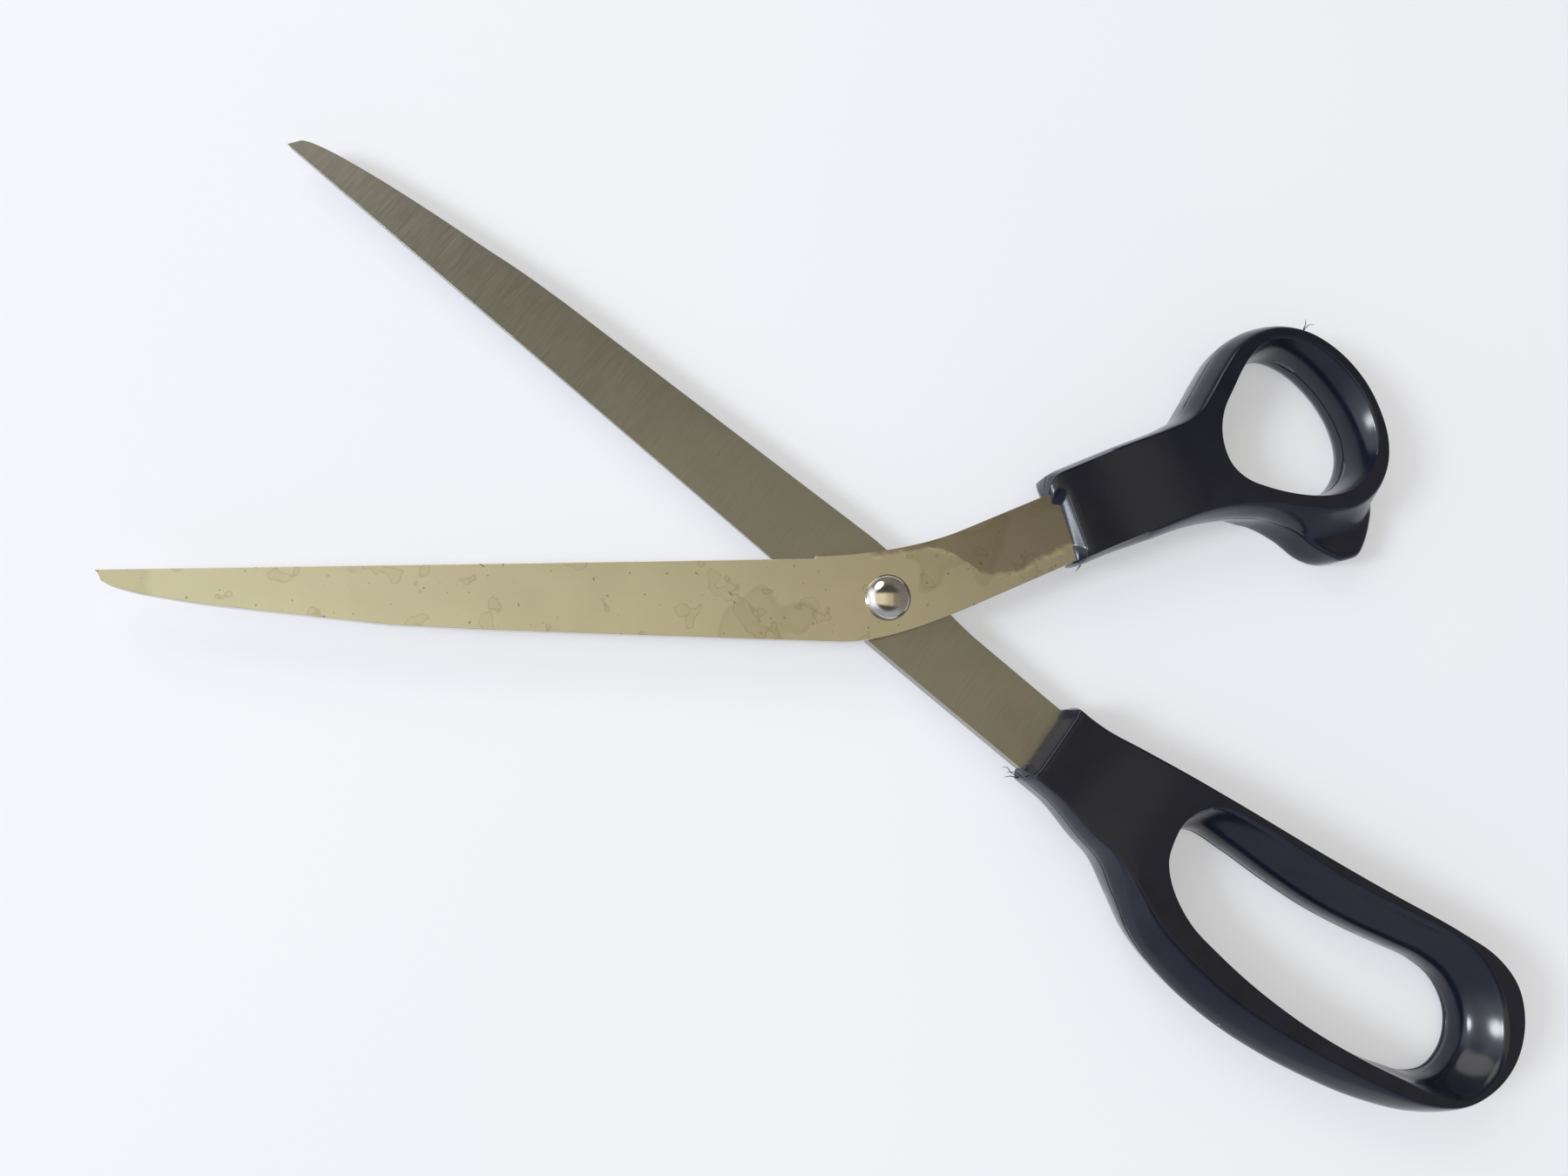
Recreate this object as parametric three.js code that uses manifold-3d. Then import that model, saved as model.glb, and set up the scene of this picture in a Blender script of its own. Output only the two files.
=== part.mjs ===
// Office scissors with moulded handles, in millimetres, +Z up, lying open on their side.
//
// Two stamped blades cross at a domed rivet. Each blade runs back into a flat tang, and
// a plastic handle is moulded round each tang: a long loop for the fingers and a round
// ring for the thumb. The origin is on the pivot axis at the level the scissors lie on.
// Each half is drawn along its closing line, the line from the pivot to the blade's tip,
// with the tip towards -X. The finger half keeps that line on X; the thumb half lies over
// it, turned by the opening angle.
import * as THREE from 'three';
import { mergeVertices } from 'three/addons/utils/BufferGeometryUtils.js';
import Module from 'manifold-3d';

const wasm = await Module();
wasm.setup();

// ---- Driving dimensions ------------------------------------------------------------

const OPEN_ANGLE = 35.4; // degrees between the two closing lines, as the scissors lie

// Blades
const BLADE_LENGTH = 116.5; // pivot axis to tip
const BLADE_THICKNESS = 2.2;
const BLADE_GAP = 0.3; // between the flat faces that slide on each other
const SPINE_WIDTH = 7.3; // closing line to the back of the blade
const HEEL_WIDTH = 6.2; // closing line to the end of the cutting edge
const HEEL_TO_PIVOT = 12;
const TIP_CROSSING = 0.1; // how far the tip reaches over the closing line
const GRIND_WIDTH = 0.4; // slope of the cutting edge, seen from above

// Tangs and the sockets moulded round them
const TANG_WIDTH = 12;
const TANG_DEPTH = 24; // length of tang inside the handle
const TANG_CORNER = 3;
const ANCHOR_RADIUS = 2.5; // hole in the tang that the plastic flows through
const ANCHOR_DEPTH = 14; // from the handle's mouth
const MOULD_GAP = 0.3;
const SOCKET_THICKNESS = 8;
const LOOP_THICKNESS = 11;
const FLAT_START = 24; // from the mouth to where the handle has its full thickness

// Rivet and washer
const SHANK_RADIUS = 2.3;
const PIVOT_CLEARANCE = 0.1; // radial, and under the head and the washer
const HEAD_RADIUS = 3.7;
const HEAD_RIM = 0.4;
const HEAD_DOME = 1.8;
const TAIL_RADIUS = 3.2;
const TAIL_FLAT = 2.2; // radius of the flat end that the scissors rest on
const WASHER_RADIUS = 4.2;
const WASHER_THICKNESS = 0.6;

// Stop on the thumb ring: it meets the finger loop when the blades close
const STOP_HEIGHT_ABOVE_MIDDLE = 1;
const STOP_EDGE = 0.8;

// How finely round shapes are divided
const ROUND_STEPS = 32;
const OUTLINE_STEPS = 72;
const HOLE_STEPS = 48;
const WALL_STEPS = 3;

const MIDDLE = LOOP_THICKNESS / 2; // height of the plane the blades slide on

// Each half's own figures. `cutting` is the side of the closing line, +1 or -1, that its
// cutting edge is on, and `level` says whether its blade lies above or below the middle.
// The tang leaves the closing line at `tangAngle`, in degrees, beside the pivot by
// `tangOffset`, and the handle's mouth crosses it at `mouth` from the pivot.
const THUMB_HALF = { cutting: 1, level: 1, tangAngle: 24, tangOffset: -0.6, mouth: 33.3 };
const FINGER_HALF = { cutting: -1, level: -1, tangAngle: -2.5, tangOffset: -1, mouth: 34.8 };

// ---- Materials ---------------------------------------------------------------------

function steel(color, roughness) {
  return new THREE.MeshStandardMaterial({ color, roughness, metalness: 1 });
}

function blackPlastic() {
  return new THREE.MeshStandardMaterial({ color: 0x24262c, roughness: 0.32, metalness: 0 });
}

// ---- Solids ------------------------------------------------------------------------

function toSolid(geometry) {
  const bare = geometry.clone();
  bare.deleteAttribute('normal');
  bare.deleteAttribute('uv');
  const merged = mergeVertices(bare);
  return new wasm.Manifold(new wasm.Mesh({
    numProp: 3,
    vertProperties: new Float32Array(merged.attributes.position.array),
    triVerts: new Uint32Array(merged.index.array),
  }));
}

function toGeometry(solid) {
  const { vertProperties, triVerts } = solid.getMesh();
  const geometry = new THREE.BufferGeometry();
  geometry.setAttribute('position', new THREE.BufferAttribute(vertProperties, 3));
  geometry.setIndex(new THREE.BufferAttribute(triVerts, 1));
  geometry.computeVertexNormals();
  return geometry;
}

function plate(shape, thickness, bottom) {
  const geometry = new THREE.ExtrudeGeometry(shape, {
    depth: thickness,
    bevelEnabled: false,
    curveSegments: ROUND_STEPS / 2,
  });
  return geometry.translate(0, 0, bottom);
}

function roundHole(x, y, radius) {
  const corners = [];
  for (let step = 0; step < ROUND_STEPS; step += 1) {
    const turn = (step / ROUND_STEPS) * 2 * Math.PI;
    corners.push(new THREE.Vector2(x + radius * Math.cos(turn), y + radius * Math.sin(turn)));
  }
  return new THREE.Path(corners);
}

// Where a half's blade starts, above or below the middle plane
function bladeBottom(half) {
  return half.level > 0 ? MIDDLE + BLADE_GAP / 2 : MIDDLE - BLADE_GAP / 2 - BLADE_THICKNESS;
}

// The frame in which a handle is drawn: the origin at the middle of its mouth, X along
// the tang, away from the pivot.
function tangFrame(half) {
  const angle = THREE.MathUtils.degToRad(half.tangAngle);
  return new THREE.Matrix4()
    .makeRotationZ(angle)
    .multiply(new THREE.Matrix4().makeTranslation(half.mouth, half.tangOffset, 0));
}

// ---- Blades ------------------------------------------------------------------------

// The back of the blade near its tip: distance from the tip, and depth below the line
const SPINE_TAPER = [
  [50, 7.0],
  [31, 6.0],
  [16.5, 4.8],
  [7.5, 3.6],
  [3, 2.6],
  [1.2, 1.8],
];

function tangPoint(half, along, across) {
  const point = new THREE.Vector3(along, across, 0).applyMatrix4(tangFrame(half));
  return new THREE.Vector2(point.x, point.y);
}

function bladeOutline(half) {
  const side = half.cutting;
  const along = new THREE.Vector2(1, 0);
  along.rotateAround(new THREE.Vector2(), THREE.MathUtils.degToRad(half.tangAngle));
  const bend = 8; // pull of the curves that join the blade to its tang
  const tangEdge = TANG_WIDTH / 2;
  const shoulder = -half.mouth / 2; // where the straight tang begins
  const heel = new THREE.Vector2(-HEEL_TO_PIVOT, side * HEEL_WIDTH);
  const tip = new THREE.Vector2(-BLADE_LENGTH, side * TIP_CROSSING);
  const edgeDirection = heel.clone().sub(tip).normalize();

  const cutSide = tangPoint(half, shoulder, side * tangEdge);
  const cutPull = heel.clone().addScaledVector(edgeDirection, bend);
  const cutPush = cutSide.clone().addScaledVector(along, -bend);
  const backSide = tangPoint(half, shoulder, -side * tangEdge);
  const backPull = backSide.clone().addScaledVector(along, -bend);
  const spineEnd = new THREE.Vector2(-bend, -side * SPINE_WIDTH);

  const end = TANG_DEPTH - TANG_CORNER;
  const corner = tangEdge - TANG_CORNER;
  const tang = [
    tangPoint(half, end, side * tangEdge),
    tangPoint(half, TANG_DEPTH, side * tangEdge),
    tangPoint(half, TANG_DEPTH, side * corner),
    tangPoint(half, TANG_DEPTH, -side * corner),
    tangPoint(half, TANG_DEPTH, -side * tangEdge),
    tangPoint(half, end, -side * tangEdge),
  ];

  const shape = new THREE.Shape();
  shape.moveTo(tip.x, tip.y);
  shape.lineTo(heel.x, heel.y);
  shape.bezierCurveTo(cutPull.x, cutPull.y, cutPush.x, cutPush.y, cutSide.x, cutSide.y);
  shape.lineTo(tang[0].x, tang[0].y);
  shape.quadraticCurveTo(tang[1].x, tang[1].y, tang[2].x, tang[2].y);
  shape.lineTo(tang[3].x, tang[3].y);
  shape.quadraticCurveTo(tang[4].x, tang[4].y, tang[5].x, tang[5].y);
  shape.lineTo(backSide.x, backSide.y);
  shape.bezierCurveTo(backPull.x, backPull.y, 0, spineEnd.y, spineEnd.x, spineEnd.y);
  const taper = SPINE_TAPER.map(([fromTip, width]) => (
    new THREE.Vector2(fromTip - BLADE_LENGTH, -side * width)
  ));
  shape.splineThru(taper);
  shape.closePath();

  const anchor = tangPoint(half, ANCHOR_DEPTH, 0);
  shape.holes.push(roundHole(0, 0, SHANK_RADIUS + PIVOT_CLEARANCE));
  shape.holes.push(roundHole(anchor.x, anchor.y, ANCHOR_RADIUS));
  return shape;
}

// The wedge of steel that grinding takes off the outer face along the cutting edge
function grindWedge(half) {
  const tip = new THREE.Vector2(-BLADE_LENGTH, half.cutting * TIP_CROSSING);
  const heel = new THREE.Vector2(-HEEL_TO_PIVOT, half.cutting * HEEL_WIDTH);
  const length = heel.distanceTo(tip);
  const overrun = 2;
  const reach = BLADE_THICKNESS * 0.5;
  const slope = GRIND_WIDTH / BLADE_THICKNESS;
  const profile = new THREE.Shape([
    new THREE.Vector2(0, 0),
    new THREE.Vector2(reach, 0),
    new THREE.Vector2(reach, BLADE_THICKNESS + reach),
    new THREE.Vector2(-(BLADE_THICKNESS + reach) * slope, BLADE_THICKNESS + reach),
  ]);
  const wedge = new THREE.ExtrudeGeometry(profile, { depth: length + overrun, bevelEnabled: false });
  // The profile stands across the edge, and its length runs from the heel past the tip
  const out = new THREE.Vector3(0, half.cutting, 0);
  const up = new THREE.Vector3(0, 0, half.level);
  const run = new THREE.Vector3().crossVectors(out, up);
  wedge.translate(0, 0, run.x < 0 ? 0 : -length - overrun);
  wedge.applyMatrix4(new THREE.Matrix4().makeBasis(out, up, run));
  wedge.rotateZ(Math.atan2(heel.y - tip.y, heel.x - tip.x));
  wedge.translate(heel.x, heel.y, MIDDLE + half.level * BLADE_GAP / 2);
  return toSolid(wedge);
}

function bladeGeometry(half) {
  const blank = toSolid(plate(bladeOutline(half), BLADE_THICKNESS, bladeBottom(half)));
  return toGeometry(blank.subtract(grindWedge(half)));
}

// ---- Moulded handles -----------------------------------------------------------------

// Outlines are taken at mid-height, where the two halves of the mould met. Each point is
// along the tang, across it, and how far the wall leans in from there to the flat face.

// The two sides of the socket, as far as the handle follows the tang
function socketSide(half, side, wall) {
  const across = side * (TANG_WIDTH / 2 + wall);
  return [
    new THREE.Vector3(0, across, 0.6),
    new THREE.Vector3(ANCHOR_DEPTH / 2, across * 1.01, 0.8),
  ];
}

const points = (list) => list.map(([along, across, lean]) => new THREE.Vector3(along, across, lean));

const FINGER_OUTLINE = [
  ...socketSide(FINGER_HALF, -1, 1.4),
  ...points([
    [13.8, -8.9, 1.2], [19.2, -9.9, 1.8], [24.2, -12.8, 3], [30.6, -16.3, 4], [39.2, -18.2, 4.5],
    [49.2, -18.6, 4.5], [59.2, -17.6, 4.4], [69.2, -15.6, 4], [78.2, -13, 3.2], [87.2, -9, 2],
    [93.5, -4, 1.3], [96.8, 2.5, 1], [97.4, 9, 1], [95.2, 15.2, 1], [90.8, 19.6, 1],
    [84.7, 21.2, 0.9], [76.2, 20.2, 0.7], [60.2, 17, 0.5], [46.7, 14.6, 0.5], [33.2, 12.4, 0.5],
    [21.2, 10.4, 0.6], [13.2, 9.1, 0.7],
  ]),
  ...socketSide(FINGER_HALF, 1, 1.4).reverse(),
];

const FINGER_HOLE = points([
  [26.8, -0.5, 1], [27.6, 2.6, 2.2], [31, 4.7, 4.2], [37.5, 5.4, 5], [46.2, 6, 5.3],
  [55.2, 7.2, 5.4], [63.7, 9.1, 5.2], [70.8, 11, 5], [76.7, 12, 5], [81.4, 11.3, 5.2],
  [85.2, 8.7, 5.5], [87.2, 4.8, 5.3], [87.2, 0.9, 4], [85.2, -2.4, 2], [80.7, -5, 1],
  [73, -7.6, 0.8], [62.2, -9.3, 0.8], [51.2, -9.9, 0.8], [42.2, -9.5, 0.8], [35.7, -8.6, 0.8],
  [30.4, -6, 0.9], [27.6, -3.2, 0.9],
]).reverse();

const THUMB_OUTLINE = [
  ...socketSide(THUMB_HALF, -1, 1),
  ...points([
    [14.2, -7.6, 1.2], [23.2, -8.3, 1.6], [30.2, -9.8, 2], [36.2, -12.2, 2.3], [42.2, -15.4, 2.4],
    [47.7, -17.6, 2.2], [52.7, -18.2, 2], [57.6, -16.8, 1.7], [61.8, -13.2, 1.3],
    [64.2, -8.6, 1], [65.2, -3, 0.9], [64.8, 3.4, 0.9], [62.4, 10, 1], [58.4, 15.3, 1.2],
    [53.4, 18.4, 1.5], [48.2, 19.3, 1.8], [43, 18.4, 2], [38.2, 15.7, 2], [33.5, 12.5, 2],
    [29.4, 9.9, 1.6], [24.2, 9.2, 1.1], [14.2, 9.3, 0.8],
  ]),
  ...socketSide(THUMB_HALF, 1, 3.3).reverse(),
];

const THUMB_HOLE = points([
  [33.2, -1, 0.9], [33.7, 3.2, 0.9], [35.8, 6.8, 0.9], [39.6, 10, 0.9], [44.2, 13, 1.2],
  [48.4, 14, 2.4], [51.8, 12.9, 3.2], [55.2, 9.5, 3.5], [57.8, 3.6, 3.5], [58.7, -2.4, 3.4],
  [57.8, -7.4, 3], [55.6, -10.8, 1.8], [51.6, -12.6, 1], [47.2, -12, 0.9], [42.4, -9.9, 0.9],
  [37.6, -6.8, 0.9], [34.6, -4.1, 0.9],
]).reverse();

// Half the handle's thickness: it grows from the socket to the loop
function halfThickness(along) {
  const grow = THREE.MathUtils.smoothstep(along, FLAT_START / 3, FLAT_START);
  return THREE.MathUtils.lerp(SOCKET_THICKNESS, LOOP_THICKNESS, grow) / 2;
}

// The direction out of a counter-clockwise outline at one of its points
function outward(ring, index, closed) {
  const last = ring.length - 1;
  const before = ring[closed ? (index + last) % ring.length : Math.max(index - 1, 0)];
  const after = ring[closed ? (index + 1) % ring.length : Math.min(index + 1, last)];
  return new THREE.Vector2(after.y - before.y, before.x - after.x).normalize();
}

// One ring of points for each level, from the bottom face to the top one. The wall
// between them is a quarter of an ellipse above mid-height and another below it.
function wallRings(ring, closed, leanSign) {
  const rings = [];
  for (let level = -WALL_STEPS; level <= WALL_STEPS; level += 1) {
    const turn = (level / WALL_STEPS) * (Math.PI / 2);
    rings.push(ring.map((point, index) => {
      const lean = leanSign * point.z * (1 - Math.cos(turn));
      const out = outward(ring, index, closed);
      const x = point.x - out.x * lean;
      const y = point.y - out.y * lean;
      return new THREE.Vector3(x, y, halfThickness(x) * Math.sin(turn));
    }));
  }
  return rings;
}

function addVertices(rings, vertices) {
  const first = vertices.length / 3;
  for (const ring of rings) {
    for (const point of ring) {
      vertices.push(point.x, point.y, point.z);
    }
  }
  return first;
}

function addWall(rings, first, facesOut, triangles) {
  const count = rings[0].length;
  for (let level = 0; level < rings.length - 1; level += 1) {
    for (let index = 0; index < count; index += 1) {
      const next = (index + 1) % count;
      const a = first + level * count + index;
      const b = first + level * count + next;
      const c = b + count;
      const d = a + count;
      triangles.push(...(facesOut ? [a, b, c, a, c, d] : [a, c, b, a, d, c]));
    }
  }
}

// A flat face, from the outer ring to the hole's, facing up or down
function addFace(outer, outerFirst, hole, holeFirst, facesUp, triangles) {
  const flat = (ring) => ring.map((point) => new THREE.Vector2(point.x, point.y));
  const place = (index) => (
    index < outer.length ? outerFirst + index : holeFirst + index - outer.length
  );
  const all = [...outer, ...hole];
  for (const [a, b, c] of THREE.ShapeUtils.triangulateShape(flat(outer), [flat(hole)])) {
    const area = THREE.ShapeUtils.area([all[a], all[b], all[c]]);
    const corners = (area > 0) === facesUp ? [a, b, c] : [a, c, b];
    triangles.push(...corners.map(place));
  }
}

function mouldedLoop(outline, hole) {
  const outerRing = new THREE.CatmullRomCurve3(outline).getSpacedPoints(OUTLINE_STEPS);
  const holeRing = new THREE.CatmullRomCurve3(hole, true).getSpacedPoints(HOLE_STEPS);
  holeRing.pop();
  const outer = wallRings(outerRing, false, 1);
  const inner = wallRings(holeRing, true, -1);
  const vertices = [];
  const triangles = [];
  const outerFirst = addVertices(outer, vertices);
  const innerFirst = addVertices(inner, vertices);
  addWall(outer, outerFirst, true, triangles);
  addWall(inner, innerFirst, false, triangles);
  const top = outer.length - 1;
  const outerTop = outerFirst + top * outerRing.length;
  const innerTop = innerFirst + top * holeRing.length;
  addFace(outer[top], outerTop, inner[top], innerTop, true, triangles);
  addFace(outer[0], outerFirst, inner[0], innerFirst, false, triangles);
  const geometry = new THREE.BufferGeometry();
  geometry.setAttribute('position', new THREE.Float32BufferAttribute(vertices, 3));
  geometry.setIndex(triangles);
  return geometry;
}

// The space the tang fills, with a pillar of plastic standing through its anchor hole
function tangCavity(half) {
  const halfWidth = TANG_WIDTH / 2 + MOULD_GAP;
  const depth = TANG_DEPTH + MOULD_GAP;
  const overrun = 4; // out past the mouth
  const shape = new THREE.Shape();
  shape.moveTo(-overrun, -halfWidth);
  shape.lineTo(depth - TANG_CORNER, -halfWidth);
  shape.quadraticCurveTo(depth, -halfWidth, depth, TANG_CORNER - halfWidth);
  shape.lineTo(depth, halfWidth - TANG_CORNER);
  shape.quadraticCurveTo(depth, halfWidth, depth - TANG_CORNER, halfWidth);
  shape.lineTo(-overrun, halfWidth);
  shape.closePath();
  shape.holes.push(roundHole(ANCHOR_DEPTH, 0, ANCHOR_RADIUS - MOULD_GAP));
  const bottom = bladeBottom(half) - MIDDLE - MOULD_GAP;
  return toSolid(plate(shape, BLADE_THICKNESS + 2 * MOULD_GAP, bottom));
}

// The stop stands out from the thumb ring towards the finger loop
function thumbStop() {
  const shape = new THREE.Shape([
    new THREE.Vector2(37.2, -12),
    new THREE.Vector2(41, -17.6),
    new THREE.Vector2(43.6, -22),
    new THREE.Vector2(46.2, -24.1),
    new THREE.Vector2(50, -25.2),
    new THREE.Vector2(52.2, -25),
    new THREE.Vector2(57, -20),
    new THREE.Vector2(59.4, -14.6),
    new THREE.Vector2(55.2, -13.6),
  ]);
  const height = LOOP_THICKNESS / 2 + STOP_HEIGHT_ABOVE_MIDDLE;
  const geometry = new THREE.ExtrudeGeometry(shape, {
    depth: height - 2 * STOP_EDGE,
    bevelThickness: STOP_EDGE,
    bevelSize: STOP_EDGE,
    bevelOffset: -STOP_EDGE,
    bevelSegments: 2,
  });
  return toSolid(geometry.translate(0, 0, STOP_EDGE - LOOP_THICKNESS / 2));
}

function handleMesh(name, half, solid) {
  const mesh = new THREE.Mesh(toGeometry(solid.subtract(tangCavity(half))), blackPlastic());
  mesh.name = name;
  const place = tangFrame(half).premultiply(new THREE.Matrix4().makeTranslation(0, 0, MIDDLE));
  place.decompose(mesh.position, mesh.quaternion, mesh.scale);
  return mesh;
}

function fingerHandle() {
  const loop = toSolid(mouldedLoop(FINGER_OUTLINE, FINGER_HOLE));
  return handleMesh('finger_handle', FINGER_HALF, loop);
}

function thumbHandle() {
  const ring = toSolid(mouldedLoop(THUMB_OUTLINE, THUMB_HOLE));
  return handleMesh('thumb_handle', THUMB_HALF, ring.add(thumbStop()));
}

// ---- Rivet -----------------------------------------------------------------------------

function turned(name, profile, material) {
  const outline = profile.map(([radius, height]) => new THREE.Vector2(radius, height));
  const mesh = new THREE.Mesh(new THREE.LatheGeometry(outline, ROUND_STEPS), material);
  mesh.geometry.rotateX(Math.PI / 2);
  mesh.name = name;
  return mesh;
}

// Heights of the stack under and over the blades, from the level the scissors lie on
const BLADES_BOTTOM = MIDDLE - BLADE_GAP / 2 - BLADE_THICKNESS;
const BLADES_TOP = MIDDLE + BLADE_GAP / 2 + BLADE_THICKNESS;
const WASHER_TOP = BLADES_BOTTOM - PIVOT_CLEARANCE;
const WASHER_BOTTOM = WASHER_TOP - WASHER_THICKNESS;
const TAIL_TOP = WASHER_BOTTOM - PIVOT_CLEARANCE;

function pivotRivet() {
  const headBottom = BLADES_TOP + PIVOT_CLEARANCE;
  const domeBottom = headBottom + HEAD_RIM;
  const domeSteps = 6;
  const dome = [];
  for (let step = 0; step < domeSteps; step += 1) {
    const turn = (step / domeSteps) * (Math.PI / 2);
    dome.push([HEAD_RADIUS * Math.cos(turn), domeBottom + HEAD_DOME * Math.sin(turn)]);
  }
  return turned('pivot_rivet', [
    [0, 0],
    [TAIL_FLAT, 0],
    [TAIL_RADIUS, TAIL_TOP * 0.45],
    [TAIL_RADIUS, TAIL_TOP],
    [SHANK_RADIUS, TAIL_TOP],
    [SHANK_RADIUS, headBottom],
    [HEAD_RADIUS, headBottom],
    ...dome,
    [0, domeBottom + HEAD_DOME],
  ], steel(0xd8dadd, 0.12));
}

function rivetWasher() {
  const bore = SHANK_RADIUS + PIVOT_CLEARANCE;
  return turned('rivet_washer', [
    [bore, WASHER_BOTTOM],
    [WASHER_RADIUS, WASHER_BOTTOM],
    [WASHER_RADIUS, WASHER_TOP],
    [bore, WASHER_TOP],
    [bore, WASHER_BOTTOM],
  ], steel(0xb9bbbe, 0.3));
}

// ---- Assembly --------------------------------------------------------------------------

function blade(name, half) {
  const mesh = new THREE.Mesh(bladeGeometry(half), steel(0xa9a58f, 0.35));
  mesh.name = name;
  return mesh;
}

const fingerHalf = new THREE.Group();
fingerHalf.add(blade('back_blade', FINGER_HALF), fingerHandle(), pivotRivet(), rivetWasher());

const thumbHalf = new THREE.Group();
thumbHalf.add(blade('front_blade', THUMB_HALF), thumbHandle());
thumbHalf.rotation.z = THREE.MathUtils.degToRad(OPEN_ANGLE);

const scissors = new THREE.Group();
scissors.add(fingerHalf, thumbHalf);

export default scissors;
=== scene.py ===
# Office scissors lying open on a pale table: two stamped steel blades on a chrome rivet,
# with black handles moulded round their tangs. Everything is in metres, in the frame of
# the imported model: the pivot axis stands on the origin, and the table is at z = 0.
import math

import bmesh
import bpy
import numpy as np
from mathutils import Matrix, Vector, geometry, noise


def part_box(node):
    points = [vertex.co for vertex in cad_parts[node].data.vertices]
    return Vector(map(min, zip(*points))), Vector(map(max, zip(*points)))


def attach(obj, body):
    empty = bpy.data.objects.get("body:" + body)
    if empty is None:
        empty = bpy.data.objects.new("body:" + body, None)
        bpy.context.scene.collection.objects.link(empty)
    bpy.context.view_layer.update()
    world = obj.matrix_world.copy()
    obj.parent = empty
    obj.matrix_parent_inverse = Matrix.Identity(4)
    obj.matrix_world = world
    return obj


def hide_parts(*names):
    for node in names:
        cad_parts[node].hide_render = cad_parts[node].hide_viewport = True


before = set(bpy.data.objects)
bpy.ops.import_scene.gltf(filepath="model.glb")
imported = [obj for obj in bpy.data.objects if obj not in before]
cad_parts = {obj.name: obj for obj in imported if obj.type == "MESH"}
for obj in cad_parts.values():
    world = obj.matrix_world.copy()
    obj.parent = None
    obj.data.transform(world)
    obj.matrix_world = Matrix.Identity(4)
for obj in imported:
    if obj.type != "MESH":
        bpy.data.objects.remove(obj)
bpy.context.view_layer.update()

mm = 0.001  # sizes below are millimetres times this, or say so


# ---- The table and the light ---------------------------------------------------------
# A sheet of white paper under a room with soft daylight. The camera is held close over
# the scissors and leans a little, so the handles show their inner walls.
camera_data = bpy.data.cameras.new("camera")
camera_data.lens = 30
camera_data.sensor_width = 36
camera_data.clip_start = 0.01
camera = bpy.data.objects.new("camera", camera_data)
camera.location = (-0.0330, -0.0615, 0.2055)
camera.rotation_euler = [math.radians(turn) for turn in (8.904, -12.981, 35.572)]
bpy.context.scene.collection.objects.link(camera)
bpy.context.scene.camera = camera
bpy.context.scene.view_settings.view_transform = "Standard"

picture_right = Vector((0.81, 0.58, 0)).normalized()
picture_up = Vector((-0.58, 0.81, 0)).normalized()
middle = Vector((0.01, 0.0, 0))


def new_material(name):
    """A node material, as the material, its nodes, its links and its shader."""
    material = bpy.data.materials.new(name)
    material.use_nodes = True
    nodes = material.node_tree.nodes
    return material, nodes, material.node_tree.links, nodes["Principled BSDF"]


def ramp(nodes, stops):
    """A colour ramp through (position, colour) stops."""
    node = nodes.new("ShaderNodeValToRGB")
    node.color_ramp.elements[0].position, node.color_ramp.elements[0].color = stops[0]
    node.color_ramp.elements[1].position, node.color_ramp.elements[1].color = stops[-1]
    for place, colour in stops[1:-1]:
        node.color_ramp.elements.new(place).color = colour
    return node


def lay_table(half=1.6):
    """A square sheet of matt paper, which glows slightly as paper in a bright room does."""
    mesh = bpy.data.meshes.new("table")
    corners = [(-half, -half, 0), (half, -half, 0), (half, half, 0), (-half, half, 0)]
    mesh.from_pydata(corners, [], [(0, 1, 2, 3)])
    table = bpy.data.objects.new("table", mesh)
    bpy.context.scene.collection.objects.link(table)
    material, nodes, links, shader = new_material("white_paper")
    place = nodes.new("ShaderNodeTexCoord")
    cloud = nodes.new("ShaderNodeTexNoise")
    cloud.inputs["Scale"].default_value = 6
    tint = ramp(nodes, [(0.35, (0.52, 0.53, 0.57, 1)), (0.65, (0.54, 0.545, 0.57, 1))])
    links.new(place.outputs["Object"], cloud.inputs["Vector"])
    links.new(cloud.outputs["Fac"], tint.inputs["Fac"])
    links.new(tint.outputs["Color"], shader.inputs["Base Color"])
    shader.inputs["Roughness"].default_value = 0.9
    shader.inputs["Specular IOR Level"].default_value = 0.1
    shader.inputs["Emission Color"].default_value = (0.95, 0.96, 1, 1)
    shader.inputs["Emission Strength"].default_value = 0.385
    mesh.materials.append(material)


def soft_light(name, side, height, size, watts, colour):
    """A round area light beside and above the scissors, aimed at their middle."""
    data = bpy.data.lights.new(name, "AREA")
    data.shape = "DISK"
    data.size = size
    data.energy = watts
    data.color = colour
    light = bpy.data.objects.new(name, data)
    light.location = middle + side + Vector((0, 0, height))
    light.rotation_euler = (middle - light.location).to_track_quat("-Z", "Y").to_euler()
    bpy.context.scene.collection.objects.link(light)


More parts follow.
